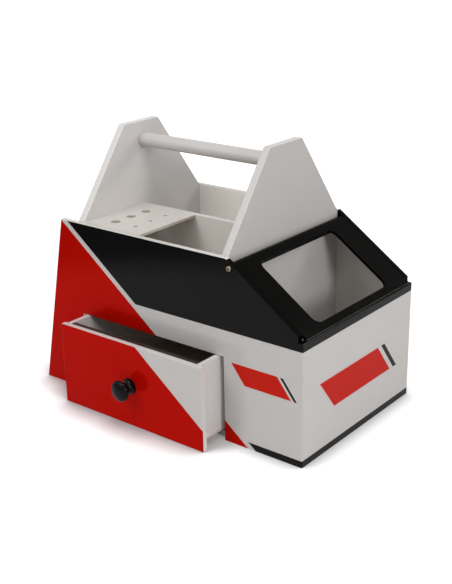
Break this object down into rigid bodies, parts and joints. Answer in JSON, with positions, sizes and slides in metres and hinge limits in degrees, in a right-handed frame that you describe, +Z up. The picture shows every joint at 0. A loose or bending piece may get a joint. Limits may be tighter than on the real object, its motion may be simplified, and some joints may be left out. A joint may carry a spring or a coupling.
{
  "type": "hobby field box",
  "caption": "Painted plywood carry box with an open tool tray, a bar handle between tapered frames, a drawer and a slanted hinged lid.",
  "frame": {"origin": "on the floor, at the centre of the box's footprint, the shut drawer and the drawer's knob left out", "axes": "+X along the box towards the slanted lid, -Y towards the drawer's knob, +Z up"},
  "size_m": [0.372, 0.2692, 0.3007],
  "materials": {
    "side_paint": "gloss film in red, white and black with diagonal edges, over plywood",
    "white_paint": "satin white paint over plywood",
    "red_paint": "gloss red film over plywood",
    "black_paint": "gloss black paint over plywood",
    "bare_wood": "bare light plywood",
    "drawer_lining": "matt dark brown paint over plywood",
    "knob_lacquer": "gloss black lacquer over turned wood",
    "screw_steel": "bright zinc-plated steel"
  },
  "bodies": {
    "box": {"front_wall": "side_paint", "rear_wall": "side_paint", "right_end_panel": "side_paint", "left_end_panel": "red_paint", "bottom_panel": "black_paint", "left_handle_frame": "white_paint", "right_handle_frame": "white_paint", "handle_dowel": "white_paint", "tray_floor": "white_paint", "tray_divider": "white_paint", "tool_shelf": "white_paint", "shelf_front_cleat": "white_paint", "shelf_rear_cleat": "white_paint", "drawer_runner_left": "bare_wood", "drawer_runner_right": "bare_wood"},
    "lid": {"lid_panel": "black_paint", "lid_hinge_bar": "black_paint", "pivot_screw_front": "screw_steel", "pivot_screw_rear": "screw_steel"},
    "drawer": {"drawer_face": "side_paint", "drawer_box_front": "drawer_lining", "drawer_side_left": "white_paint", "drawer_side_right": "white_paint", "drawer_back": "drawer_lining", "drawer_bottom": "bare_wood", "drawer_knob": "knob_lacquer", "knob_screw": "screw_steel"}
  },
  "joints": [
    {"name": "lid_hinge", "type": "hinge", "parent": "box", "child": "lid", "pos_m": [0.09717, 0, 0.19442], "axis": [0, -1, 0], "range_deg": [0, 125]},
    {"name": "drawer_slide", "type": "slide", "parent": "box", "child": "drawer", "axis": [0, -1, 0], "range_m": [-0.035, 0.12]}
  ]
}
